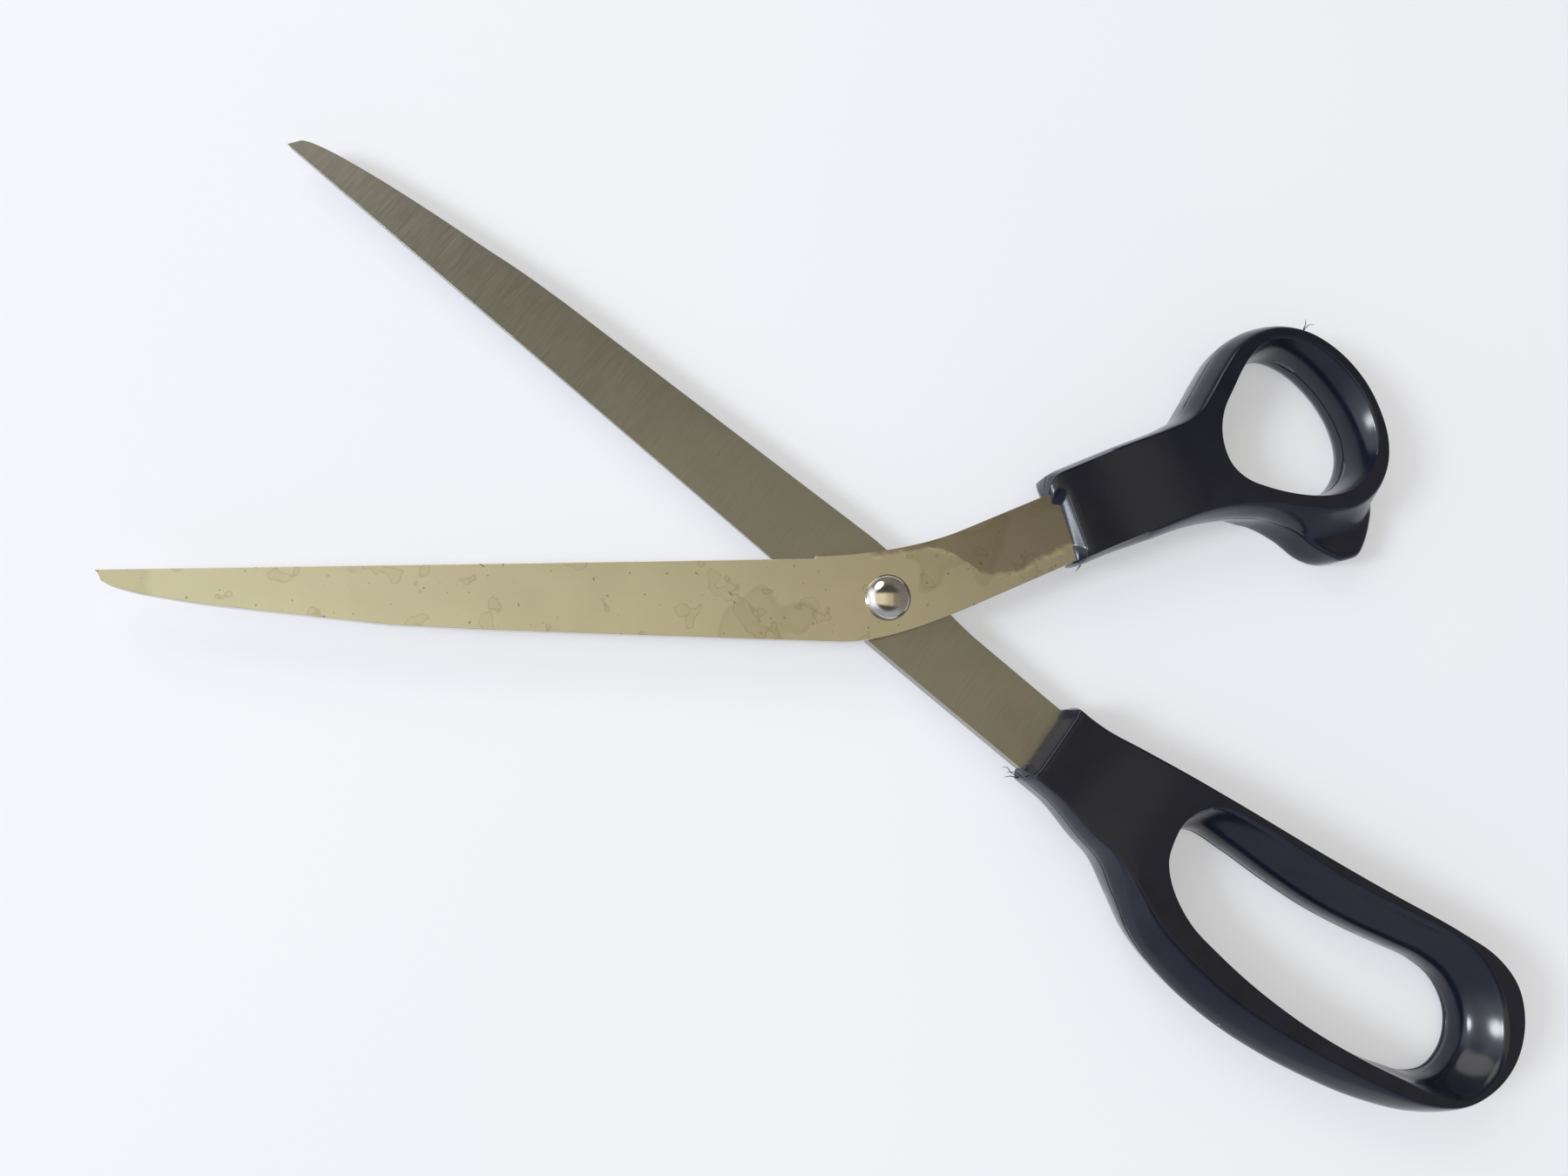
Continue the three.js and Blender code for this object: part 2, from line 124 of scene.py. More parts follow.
def light_room():
    """A bright room all round, with a warm ceiling close over the table: it is khaki
    straight above and dark brown further to the right and behind."""
    world = bpy.data.worlds.new("room")
    world.use_nodes = True
    bpy.context.scene.world = world
    nodes, links = world.node_tree.nodes, world.node_tree.links
    direction = nodes.new("ShaderNodeTexCoord").outputs["Generated"]

    def towards(axis, low, high):
        """From 0 to 1 as the direction turns towards the axis."""
        dot = nodes.new("ShaderNodeVectorMath")
        dot.operation = "DOT_PRODUCT"
        dot.inputs[1].default_value = axis
        links.new(direction, dot.inputs[0])
        share = nodes.new("ShaderNodeMapRange")
        share.interpolation_type = "SMOOTHSTEP"
        share.inputs["From Min"].default_value = low
        share.inputs["From Max"].default_value = high
        links.new(dot.outputs["Value"], share.inputs["Value"])
        return share.outputs["Result"]

    def blend(share, first, second):
        mix = nodes.new("ShaderNodeMix")
        mix.data_type = "RGBA"
        links.new(share, mix.inputs["Factor"])
        for value, socket in ((first, mix.inputs["A"]), (second, mix.inputs["B"])):
            if isinstance(value, tuple):
                socket.default_value = value
            else:
                links.new(value, socket)
        return mix.outputs["Result"]

    ceiling = blend(towards(picture_right, -0.25, 0.30), (1.12, 1.06, 0.80, 1),
                    (0.70, 0.63, 0.43, 1))
    ceiling = blend(towards(picture_right, 0.29, 0.43), ceiling, (0.38, 0.33, 0.25, 1))
    ceiling = blend(towards(picture_up, 0.20, 0.32), ceiling, (0.10, 0.10, 0.09, 1))
    ceiling = blend(towards(-picture_up, 0.26, 0.42), ceiling, (0.12, 0.11, 0.10, 1))
    walls = blend(towards(picture_right, -0.35, 0.25), (1.55, 1.64, 1.85, 1),
                  (0.30, 0.28, 0.26, 1))
    walls = blend(towards(-picture_up, 0.3, 0.75), walls, (0.50, 0.52, 0.60, 1))
    walls = blend(towards(picture_up, 0.3, 0.75), walls, (0.26, 0.24, 0.21, 1))
    height = towards(Vector((0, 0, 1)), 0.62, 0.84)
    sky = nodes["Background"]
    links.new(blend(height, walls, ceiling), sky.inputs["Color"])
    sky.inputs["Strength"].default_value = 1.0


lay_table()
light_room()
soft_light("window", -1.25 * picture_right - 0.1 * picture_up, height=0.85, size=0.4,
           watts=12.5, colour=(0.88, 0.94, 1.0))
soft_light("lamp", -0.9 * picture_right + 1.75 * picture_up, height=1.5, size=1.5,
           watts=13, colour=(1.0, 0.95, 0.87))


# ---- The blades -------------------------------------------------------------------------
# Two stampings of stainless steel with every edge just broken. Real ones are polished on
# their outer faces and ground on the faces that slide on each other. Here each blade has
# one finish all over, that of its upper face: ground on the back one, polished in front.
EDGE_BREAK = 0.1 * mm
FRONT_BLADE_TURN = math.radians(35.4)
FRONT_TANG_TURN = math.radians(24)  # the tang turns away from the blade by this


def steel_finish(name, turn, grain, light, dark, shine, depth):
    """Steel whose grain is stretched by the scale on each axis, turned with the piece.
    depth is how much darker the grain's lines are."""
    material, nodes, links, shader = new_material(name)
    place = nodes.new("ShaderNodeTexCoord")
    along = nodes.new("ShaderNodeMapping")
    along.inputs["Rotation"].default_value = (0, 0, -turn)
    links.new(place.outputs["Object"], along.inputs["Vector"])

    stretch = nodes.new("ShaderNodeMapping")
    stretch.inputs["Scale"].default_value = grain
    links.new(along.outputs["Vector"], stretch.inputs["Vector"])
    lines = nodes.new("ShaderNodeTexNoise")
    lines.inputs["Scale"].default_value = 1
    lines.inputs["Detail"].default_value = 4
    links.new(stretch.outputs["Vector"], lines.inputs["Vector"])

    cloud = nodes.new("ShaderNodeTexNoise")
    cloud.inputs["Scale"].default_value = 70
    cloud.inputs["Detail"].default_value = 3
    cloud.inputs["Distortion"].default_value = 0.6
    links.new(along.outputs["Vector"], cloud.inputs["Vector"])
    tone = ramp(nodes, [(0.3, dark), (0.7, light)])
    links.new(cloud.outputs["Fac"], tone.inputs["Fac"])

    streak = ramp(nodes, [(0.3, (1 - depth, 1 - depth, 1 - depth, 1)), (0.7, (1, 1, 1, 1))])
    links.new(lines.outputs["Fac"], streak.inputs["Fac"])
    streaked = nodes.new("ShaderNodeMix")
    streaked.data_type = "RGBA"
    streaked.blend_type = "MULTIPLY"
    streaked.inputs["Factor"].default_value = 1
    links.new(tone.outputs["Color"], streaked.inputs["A"])
    links.new(streak.outputs["Color"], streaked.inputs["B"])
    links.new(streaked.outputs["Result"], shader.inputs["Base Color"])

    gloss = nodes.new("ShaderNodeMapRange")
    gloss.inputs["To Min"].default_value = shine - 0.05
    gloss.inputs["To Max"].default_value = shine + 0.07
    links.new(lines.outputs["Fac"], gloss.inputs["Value"])
    links.new(gloss.outputs["Result"], shader.inputs["Roughness"])
    bump = nodes.new("ShaderNodeBump")
    bump.inputs["Strength"].default_value = 0.6 * depth
    bump.inputs["Distance"].default_value = 0.02 * mm
    links.new(lines.outputs["Fac"], bump.inputs["Height"])
    links.new(bump.outputs["Normal"], shader.inputs["Normal"])
    shader.inputs["Metallic"].default_value = 1
    return material


def painted_bend_shade_and_water_marks(material):
    """Painted shade over the tang where it bulges at its bend: a brownish darkening with an
    uneven border, lit along it by a painted highlight; then dull water marks along the blade,
    and a few specks of dirt."""
    nodes, links = material.node_tree.nodes, material.node_tree.links
    shader = nodes["Principled BSDF"]
    place = nodes.new("ShaderNodeTexCoord").outputs["Object"]

    def combined(first, second, operation="ADD"):
        node = nodes.new("ShaderNodeMath")
        node.operation = operation
        for value, socket in ((first, node.inputs[0]), (second, node.inputs[1])):
            if isinstance(value, (int, float)):
                socket.default_value = value
            else:
                links.new(value, socket)
        return node.outputs["Value"]

    def cloud(size, detail):
        node = nodes.new("ShaderNodeTexNoise")
        node.inputs["Scale"].default_value = 1 / (size * mm)
        node.inputs["Detail"].default_value = detail
        links.new(place, node.inputs["Vector"])
        return node.outputs["Fac"]

    def tint_base(strength, colour):
        """Tints what is already there."""
        source = shader.inputs["Base Color"].links[0].from_socket
        mix = nodes.new("ShaderNodeMix")
        mix.data_type = "RGBA"
        mix.blend_type = "MULTIPLY"
        links.new(strength, mix.inputs["Factor"])
        links.new(source, mix.inputs["A"])
        mix.inputs["B"].default_value = colour
        links.new(mix.outputs["Result"], shader.inputs["Base Color"])

    def graded(value, stops):
        node = ramp(nodes, [(at, (level, level, level, 1)) for at, level in stops])
        links.new(value, node.inputs["Fac"])
        return node.outputs["Color"]

    # The border of the painted shade, in shares of a 32 by 16 mm patch of the tang
    turned = nodes.new("ShaderNodeMapping")
    turned.vector_type = "TEXTURE"
    turned.inputs["Rotation"].default_value = (0, 0, FRONT_BLADE_TURN + FRONT_TANG_TURN)
    turned.inputs["Scale"].default_value = (32 * mm, 16 * mm, mm)
    links.new(place, turned.inputs["Vector"])
    split = nodes.new("ShaderNodeSeparateXYZ")
    links.new(turned.outputs["Vector"], split.inputs["Vector"])
    border = graded(split.outputs["X"], [
        (0, 0.95), (0.12, 0.885), (0.24, 0.825), (0.35, 0.755), (0.41, 0.675), (0.46, 0.52),
        (0.51, 0.37), (0.57, 0.28), (0.65, 0.23), (0.8, 0.22), (1, 0.24)])
    above = combined(combined(split.outputs["Y"], 0.5), border, "SUBTRACT")
    above = combined(above, combined(combined(cloud(3, 3), -0.5), 0.16, "MULTIPLY"))
    above = combined(above, 0.5)
    over_tang = graded(split.outputs["X"], [(0, 0), (0.05, 1)])
    # Painted shade: darkens the tang on the far side of the border, standing in for its bend
    tint_base(combined(graded(above, [(0.495, 0), (0.54, 1)]), over_tang, "MULTIPLY"),
         (0.64, 0.60, 0.62, 1))
    # Painted highlight: a lighter, broken line along the border of the painted shade
    rim = combined(graded(above, [(0.45, 0), (0.5, 0.9), (0.53, 0)]),
                 graded(cloud(2.5, 1), [(0.4, 0), (0.6, 1)]), "MULTIPLY")
    tint_base(combined(rim, over_tang, "MULTIPLY"), (1.3, 1.27, 1.15, 1))

    # Large and small water marks, then specks
    tint_base(graded(cloud(11, 1), [(0.58, 0), (0.6, 1), (0.64, 0.6), (1, 0.6)]),
         (0.88, 0.88, 0.86, 1))
    tint_base(graded(cloud(5, 2), [(0.62, 0), (0.635, 1), (0.65, 0.2), (1, 0.2)]),
         (0.80, 0.79, 0.74, 1))
    tint_base(graded(cloud(0.7, 0), [(0.80, 0), (0.83, 1)]), (0.55, 0.52, 0.48, 1))


def stamped_blade(name, node, body, material):
    """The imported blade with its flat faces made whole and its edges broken."""
    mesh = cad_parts[node].data.copy()
    mesh.name = name
    work = bmesh.new()
    work.from_mesh(mesh)
    bmesh.ops.remove_doubles(work, verts=work.verts, dist=0.001 * mm)
    bmesh.ops.dissolve_limit(work, angle_limit=math.radians(1), verts=work.verts,
                             edges=work.edges)
    work.to_mesh(mesh)
    work.free()
    mesh.materials.clear()
    mesh.materials.append(material)
    blank = bpy.data.objects.new("blank", mesh)
    bpy.context.scene.collection.objects.link(blank)
    edge = blank.modifiers.new("edge", "BEVEL")
    edge.width = EDGE_BREAK
    edge.segments = 2
    edge.limit_method = "ANGLE"
    edge.angle_limit = math.radians(25)
    finished = bpy.data.meshes.new_from_object(
        blank.evaluated_get(bpy.context.evaluated_depsgraph_get()))
    finished.name = name
    bpy.data.objects.remove(blank)
    for polygon in finished.polygons:
        is_wall = abs(polygon.normal.z) < 0.999
        polygon.use_smooth = is_wall and polygon.area < 6 * mm * mm
    blade = bpy.data.objects.new(name, finished)
    bpy.context.scene.collection.objects.link(blade)
    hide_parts(node)
    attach(blade, body)


# Both steels carry a khaki tint, partly a painted reflection of the warm ceiling, and the ground
# steel is kept darker, partly a painted reflection of the room's dark side, which its cross grain
# smears along the blade.
ground_steel = steel_finish(
    "ground_steel", turn=0, grain=(3500, 180, 900), light=(0.37, 0.36, 0.32, 1),
    dark=(0.33, 0.32, 0.285, 1), shine=0.32, depth=0.09)
polished_steel = steel_finish(
    "polished_steel", turn=FRONT_BLADE_TURN, grain=(120, 2600, 900),
    light=(0.62, 0.60, 0.51, 1), dark=(0.57, 0.55, 0.46, 1), shine=0.2, depth=0.05)
# Painted shade and highlight over the front tang, with real water marks and specks
painted_bend_shade_and_water_marks(polished_steel)
stamped_blade("back_blade_stamping", "back_blade", "finger_half", ground_steel)
stamped_blade("front_blade_stamping", "front_blade", "thumb_half", polished_steel)


# ---- The rivet and its washer ------------------------------------------------------------
# A chrome-plated dome on a steel shank, which stands just clear of the front blade, and a
# plain washer between the back blade and the rivet's tail on the far side.
def turned_piece(name, profile, node, body, material, steps=96):
    """A solid of revolution round the pivot: profile is (radius, height), axis to axis."""
    work = bmesh.new()
    rows = []
    for radius, height in profile:
        if radius == 0:
            rows.append([work.verts.new((0, 0, height * mm))])
            continue
        rows.append([work.verts.new((radius * mm * math.cos(2 * math.pi * i / steps),
                                     radius * mm * math.sin(2 * math.pi * i / steps),
                                     height * mm)) for i in range(steps)])
    pairs = list(zip(rows, rows[1:]))
    if profile[0][0] and profile[-1][0]:
        pairs.append((rows[-1], rows[0]))
    for low, high in pairs:
        for i in range(steps):
            j = (i + 1) % steps
            if len(low) == 1:
                work.faces.new((low[0], high[j], high[i]))
            elif len(high) == 1:
                work.faces.new((low[i], low[j], high[0]))
            else:
                work.faces.new((low[i], low[j], high[j], high[i]))
    mesh = bpy.data.meshes.new(name)
    bmesh.ops.recalc_face_normals(work, faces=work.faces)
    work.to_mesh(mesh)
    work.free()
    for polygon in mesh.polygons:
        polygon.use_smooth = True
    mesh.set_sharp_from_angle(angle=math.radians(40))
    mesh.materials.append(material)
    piece = bpy.data.objects.new(name, mesh)
    bpy.context.scene.collection.objects.link(piece)
    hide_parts(node)
    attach(piece, body)


def chrome_finish():
    """Plated steel, slightly smeared by handling."""
    material, nodes, links, shader = new_material("chrome_plate")
    place = nodes.new("ShaderNodeTexCoord")
    smear = nodes.new("ShaderNodeTexNoise")
    smear.inputs["Scale"].default_value = 600
    smear.inputs["Detail"].default_value = 5
    links.new(place.outputs["Object"], smear.inputs["Vector"])
    tone = ramp(nodes, [(0.3, (0.50, 0.47, 0.42, 1)), (0.7, (0.64, 0.61, 0.57, 1))])
    links.new(smear.outputs["Fac"], tone.inputs["Fac"])
    links.new(tone.outputs["Color"], shader.inputs["Base Color"])
    gloss = nodes.new("ShaderNodeMapRange")
    gloss.inputs["To Min"].default_value = 0.06
    gloss.inputs["To Max"].default_value = 0.16
    links.new(smear.outputs["Fac"], gloss.inputs["Value"])
    links.new(gloss.outputs["Result"], shader.inputs["Roughness"])
    shader.inputs["Metallic"].default_value = 1
    return material


CLEARANCE = 0.1
HEAD_GAP = 0.06

rivet_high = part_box("pivot_rivet")[1]
washer_low, washer_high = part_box("rivet_washer")
blade_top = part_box("front_blade")[1].z / mm
head_radius = rivet_high.x / mm
head_top = rivet_high.z / mm
dome_steps = 14
dome_base = blade_top + 0.35
dome = [(head_radius * math.cos(step / dome_steps * math.pi / 2),
         dome_base + (head_top - dome_base) * math.sin(step / dome_steps * math.pi / 2))
        for step in range(dome_steps)]
tail_top = washer_low.z / mm - CLEARANCE
shank_radius = 2.3
rivet_profile = [
    (0, 0), (1.9, 0), (2.2, 0.06), (2.75, 0.5), (3.1, 1.05), (3.2, 1.4), (3.2, tail_top - 0.1),
    (3.1, tail_top), (shank_radius, tail_top), (shank_radius, blade_top + HEAD_GAP),
    (head_radius - 0.25, blade_top + HEAD_GAP), (head_radius - 0.08, blade_top + 0.14),
    *dome, (0, head_top)]
turned_piece("rivet_dome", rivet_profile, "pivot_rivet", "finger_half",
             chrome_finish())

washer_radius = washer_high.x / mm
washer_bore = shank_radius + CLEARANCE
washer_bottom, washer_top = washer_low.z / mm, washer_high.z / mm
washer_profile = [
    (washer_bore, washer_bottom), (washer_radius - 0.1, washer_bottom),
    (washer_radius, washer_bottom + 0.1), (washer_radius, washer_top - 0.1),
    (washer_radius - 0.1, washer_top), (washer_bore, washer_top)]
turned_piece("plain_washer", washer_profile, "rivet_washer", "finger_half",
             steel_finish("washer_steel", turn=0, grain=(900, 900, 900),
                          light=(0.6, 0.6, 0.58, 1), dark=(0.5, 0.5, 0.48, 1),
                          shine=0.35, depth=0.1))


# ---- The finger loop -----------------------------------------------------------------------
# Black plastic injected round the back blade's tang. The two halves of the mould met at
# mid-height, where a fine parting line runs round every wall, and the walls lean in from
# it to the flat faces.

# Both handles are made in millimetres, in their own frame: the origin at the middle of the
# mouth and at mid-height, X along the tang and away from the pivot.
SOCKET_HALF = 4.0  # half the thickness at the mouth
LOOP_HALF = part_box("finger_handle")[1].z / mm / 2
TANG_HALF_WIDTH = 6.0
TANG_HALF_HEIGHT = 1.1
TANG_LEVEL = 1.25  # from mid-height to the tang's middle
POCKET_DEPTH = 24.2
MOUTH_LIP = 3.6  # the walls start this far behind the mouth
GROOVE_HALF_WIDTH = 0.16  # the parting line
GROOVE_DEPTH = 0.35
RIM_STEP = 0.3  # the last ring's width on the flat face
WALL_STEPS = 14
OUTLINE_STEPS = 560
HOLE_STEPS = 320
MOUTH_STEPS = 40


def half_thickness(along):
    """Half the handle's thickness: it is thin at the socket and grows to the loop."""
    share = np.clip((along - 7.5) / 17, 0, 1)
    return SOCKET_HALF + (LOOP_HALF - SOCKET_HALF) * share * share * (3 - 2 * share)


def flowing(points, steps, closed):
    """A smooth line through the points (a centripetal spline), cut into equal steps."""
    points = np.array(points, float)
    if closed:
        control = np.vstack([points[-1], points, points[:2]])
    else:
        control = np.vstack([2 * points[0] - points[1], points, 2 * points[-1] - points[-2]])
    fine = []
    for p0, p1, p2, p3 in zip(control, control[1:], control[2:], control[3:]):
        knots = np.cumsum([0] + [np.linalg.norm(b[:2] - a[:2]) ** 0.5
                                 for a, b in ((p0, p1), (p1, p2), (p2, p3))])
        for t in np.linspace(knots[1], knots[2], 24, endpoint=False):
            a1 = p0 + (p1 - p0) * (t - knots[0]) / (knots[1] - knots[0])
            a2 = p1 + (p2 - p1) * (t - knots[1]) / (knots[2] - knots[1])
            a3 = p2 + (p3 - p2) * (t - knots[2]) / (knots[3] - knots[2])
            b1 = a1 + (a2 - a1) * (t - knots[0]) / (knots[2] - knots[0])
            b2 = a2 + (a3 - a2) * (t - knots[1]) / (knots[3] - knots[1])
            fine.append(b1 + (b2 - b1) * (t - knots[1]) / (knots[2] - knots[1]))
    fine = np.array(fine + [points[0] if closed else points[-1]])
    spans = np.linalg.norm(np.diff(fine[:, :2], axis=0), axis=1)
    length = np.concatenate([[0], np.cumsum(spans)])
    places = np.linspace(0, length[-1], steps + 1)
    line = np.stack([np.interp(places, length, column) for column in fine.T], axis=1)
    return line[:-1] if closed else line


def outward(line, closed):
    """The direction to the right of the line at each of its points."""
    if closed:
        step = np.roll(line, -1, axis=0) - np.roll(line, 1, axis=0)
    else:
        step = np.gradient(line, axis=0)
    normal = np.stack([step[:, 1], -step[:, 0]], axis=1)
    return normal / np.linalg.norm(normal, axis=1)[:, None]


def lean_curve(roundness, brow):
    """How a wall goes from mid-height to the flat face, as (inset, height) shares. brow is
    how steeply it leaves the flat face."""
    steps = np.linspace(0, 1, WALL_STEPS + 1)[1:]
    inset = 3 * (1 - steps) * steps ** 2 * (1 - roundness) + steps ** 3
    height = (3 * (1 - steps) ** 2 * steps * roundness
              + 3 * (1 - steps) * steps ** 2 * (1 - brow) + steps ** 3)
    return inset, height


def parting_strength(line, seed):
    """The parting line comes and goes along the wall."""
    return np.array([max(0.0, min(1.0, 0.6 + 1.6 * noise.noise(
        Vector((x * 0.09, y * 0.09, seed))))) for x, y in line[:, :2]])


def wall_rings(line, closed, facing, shape, seed, parting, lower_lean, levels=()):
    """Rings of points round a wall, from the bottom flat face to the top one. parting is
    the height of the parting line, lower_lean is how much the wall leans in below it, and
    levels are heights that get a ring of their own."""
    out = outward(line[:, :2], closed) * facing
    half = half_thickness(line[:, 0])
    groove = parting_strength(line, seed)[:, None] * GROOVE_DEPTH
    insets, heights = (np.append(0, share) for share in lean_curve(*shape))

    def side(way):
        rise = half - way * parting - GROOVE_HALF_WIDTH
        lean = line[:, 2:3] * (1 if way > 0 else lower_lean)
        rings = [(line[:, :2], np.full(len(line), GROOVE_HALF_WIDTH))]
        shares = [(level - parting - GROOVE_HALF_WIDTH) / rise for level in levels if way > 0]
        start = shares[-1] if shares else np.zeros(len(line))
        shares += [start + (1 - start) * height for height in heights[1:]]
        for share in shares:
            inset = np.interp(share, heights, insets)[:, None]
            rings.append((line[:, :2] - out * lean * inset, GROOVE_HALF_WIDTH + rise * share))
        rings.append((line[:, :2] - out * (lean + RIM_STEP), GROOVE_HALF_WIDTH + rise))
        return [np.column_stack([place, parting + way * height]) for place, height in rings]

    groove_floor = np.column_stack([line[:, :2] - out * groove,
                                    np.full(len(line), float(parting))])
    return side(-1)[::-1] + [groove_floor] + side(1)


def inside(points, polygon):
    """Which points lie inside the polygon, by counting the sides to their right."""
    hit = np.zeros(len(points), bool)
    x, y = points[:, 0], points[:, 1]
    for a, b in zip(polygon, np.roll(polygon, -1, axis=0)):
        crosses = (a[1] > y) != (b[1] > y)
        with np.errstate(divide="ignore", invalid="ignore"):
            at = a[0] + (y - a[1]) * (b[0] - a[0]) / (b[1] - a[1])
        hit ^= crosses & (x < at)
    return hit


def clear_of(points, polygon, gap):
    """Which points are further than the gap from every side of the polygon."""
    distance = np.full(len(points), np.inf)
    for a, b in zip(polygon, np.roll(polygon, -1, axis=0)):
        run = b - a
        share = np.clip(((points - a) @ run) / max(run @ run, 1e-9), 0, 1)
        distance = np.minimum(distance, np.linalg.norm(points - a - share[:, None] * run, axis=1))
    return distance > gap


class Shell:
    """Points and faces gathered for one moulding."""

    def __init__(self):
        self.points = []
        self.faces = []

    def add(self, ring):
        """Adds points and returns their numbers."""
        first = len(self.points)
        self.points.extend(map(tuple, ring))
        return list(range(first, len(self.points)))

    def strip(self, low, high, closed, facing):
        """Four-sided faces between two rows of points."""
        last = len(low) if closed else len(low) - 1
        for i in range(last):
            j = (i + 1) % len(low)
            corners = [low[i], low[j], high[j], high[i]]
            self.faces.append(corners if facing > 0 else corners[::-1])

    def hair(self, path, radius=0.1):
        """A whisker of flash left by the mould: a thin closed tube that tapers."""
        path = np.array(path, float)
        rows = []
        for place, share in zip(path, np.linspace(1, 0.35, len(path))):
            turns = np.arange(6) * math.pi / 3
            ring = place + radius * share * np.column_stack(
                [np.cos(turns), np.sin(turns), 0.5 * np.cos(turns)])
            rows.append(self.add(ring))
        for low, high in zip(rows, rows[1:]):
            self.strip(low, high, True, 1)
        self.faces += [rows[0][::-1], rows[-1]]

    def cap(self, border, hole, up):
        """The flat face between a border and a hole. A net of points carries its slope
        over the neck, where the handle thickens."""
        outer = np.array([self.points[i][:2] for i in border])
        inner = np.array([self.points[i][:2] for i in hole])
        step, margin = 0.9, 0.5
        net = np.array([(x, y) for x in np.arange(2, 28, step)
                        for y in np.arange(-14, 14, step)])
        net = net[inside(net, outer) & ~inside(net, inner)]
        net = net[clear_of(net, outer, margin) & clear_of(net, inner, margin)]
        height = half_thickness(net[:, 0]) * (1 if up else -1)
        extra = self.add(np.column_stack([net, height]))
        index = border + hole + extra
        flat = [Vector(self.points[i][:2]) for i in index]
        sides = len(border)
        edges = [(i, (i + 1) % sides) for i in range(sides)]
        edges += [(sides + i, sides + (i + 1) % len(hole)) for i in range(len(hole))]
        _, _, triangles, sources, _, _ = geometry.delaunay_2d_cdt(flat, edges, [], 0, 1e-7, True)
        corners = np.array([[index[sources[k][0]] for k in face] for face in triangles])
        places = np.array(self.points)[corners][:, :, :2]
        centres = places.mean(axis=1)
        kept = inside(centres, outer) & ~inside(centres, inner)
        side_1, side_2 = places[:, 1] - places[:, 0], places[:, 2] - places[:, 0]
        turn = side_1[:, 0] * side_2[:, 1] - side_1[:, 1] * side_2[:, 0]
        for face, left in zip(corners[kept].tolist(), turn[kept] > 0):
            self.faces.append(face if left == up else face[::-1])


def moulding(outline, hole, level, lip, slant, seed, outer_shape, inner_shape,
             inner_parting, levels=(), reshape=None):
    """A closed shell: outer and inner walls, two flat faces, and the pocket that holds the
    tang. A point of the outline or the hole is (x, y, how far its wall leans in). level is
    1 where the tang lies above mid-height and -1 where it lies below. A step of the lip is
    (share of the way in to the tang, distance behind the mouth, more of it over the tang)."""
    shell = Shell()
    outer_line = flowing(outline, OUTLINE_STEPS, False)
    inner_line = flowing(hole, HOLE_STEPS, True)
    outer_rings = wall_rings(outer_line, False, 1, outer_shape, seed, parting=0.8,
                             lower_lean=0.5, levels=levels)
    if reshape:
        reshape(outer_rings)
    outer = [shell.add(ring) for ring in outer_rings]
    inner = [shell.add(ring) for ring in
             wall_rings(inner_line, True, -1, inner_shape, seed + 5, inner_parting,
                        lower_lean=0.4)]
    for low, high in zip(outer, outer[1:]):
        shell.strip(low, high, False, 1)
    for low, high in zip(inner, inner[1:]):
        shell.strip(low, high, True, -1)

    # The mouth's edge across each flat face
    def across(ring):
        minus, plus = np.array(shell.points[ring[0]]), np.array(shell.points[ring[-1]])
        shares = np.linspace(0, 1, MOUTH_STEPS + 2)[1:-1]
        return shell.add([minus + (plus - minus) * share for share in shares])

    top_edge = across(outer[-1])
    bottom_edge = across(outer[0])
    shell.cap(outer[-1] + top_edge[::-1], inner[-1], True)
    shell.cap(outer[0] + bottom_edge[::-1], inner[0], False)

    # The lip's rings from the outside of the socket in to the tang, then the pocket
    near_side = [ring[0] for ring in outer]
    far_side = [ring[-1] for ring in outer[::-1]]
    rim = near_side + top_edge + far_side + bottom_edge[::-1]
    start = np.array([shell.points[i] for i in rim])
    goal = start.copy()
    wide = np.abs(start[:, 1]).max()
    goal[:, 1] = np.clip(start[:, 1] / wide, -1, 1) * TANG_HALF_WIDTH
    goal[:len(outer), 1] = -TANG_HALF_WIDTH
    far_start = len(outer) + len(top_edge)
    goal[far_start:far_start + len(outer), 1] = TANG_HALF_WIDTH
    goal[:, 2] = level * TANG_LEVEL + start[:, 2] / SOCKET_HALF * TANG_HALF_HEIGHT
    over_tang = 1 - np.clip((np.abs(start[:, 1]) - 5.2) / 1.6, 0, 1)
    over_tang = over_tang * over_tang * (3 - 2 * over_tang)
    before = rim
    for share, ahead, shift in lip:
        ring = start + (goal - start) * share
        ring[:, 0] = ahead + shift * over_tang + slant * (start[:, 1] - 9.3) / 16
        now = shell.add(ring)
        shell.strip(before, now, True, -1)
        before = now
    goal[:, 0] = POCKET_DEPTH
    pocket_end = shell.add(goal)
    shell.strip(before, pocket_end, True, -1)
    shell.faces.append(pocket_end)
    return shell


def moulded_piece(name, shell, node, body, turn, mouth, offset, material, hairs):
    """Sets a handle on its tang. turn is the blade's turn and the tang's, mouth is how far
    the mouth is from the pivot, and offset is how far it is to the tang's side."""
    for path in hairs:
        shell.hair(path)
    blade_turn, tang_turn = turn
    place = (Matrix.Rotation(blade_turn, 4, "Z") @ Matrix.Rotation(tang_turn, 4, "Z")
             @ Matrix.Translation((mouth, offset, 0)))
    place = Matrix.Translation((0, 0, LOOP_HALF)) @ place
    mesh = bpy.data.meshes.new(name)
    mesh.from_pydata(shell.points, [], shell.faces)
    mesh.transform(Matrix.Scale(mm, 4) @ place)
    work = bmesh.new()
    work.from_mesh(mesh)
    bmesh.ops.remove_doubles(work, verts=work.verts, dist=0.0005 * mm)
    bmesh.ops.recalc_face_normals(work, faces=work.faces)
    work.to_mesh(mesh)
    work.free()
    for polygon in mesh.polygons:
        polygon.use_smooth = True
    mesh.set_sharp_from_angle(angle=math.radians(62))
    mesh.materials.append(material)
    piece = bpy.data.objects.new(name, mesh)
    bpy.context.scene.collection.objects.link(piece)
    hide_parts(node)
    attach(piece, body)


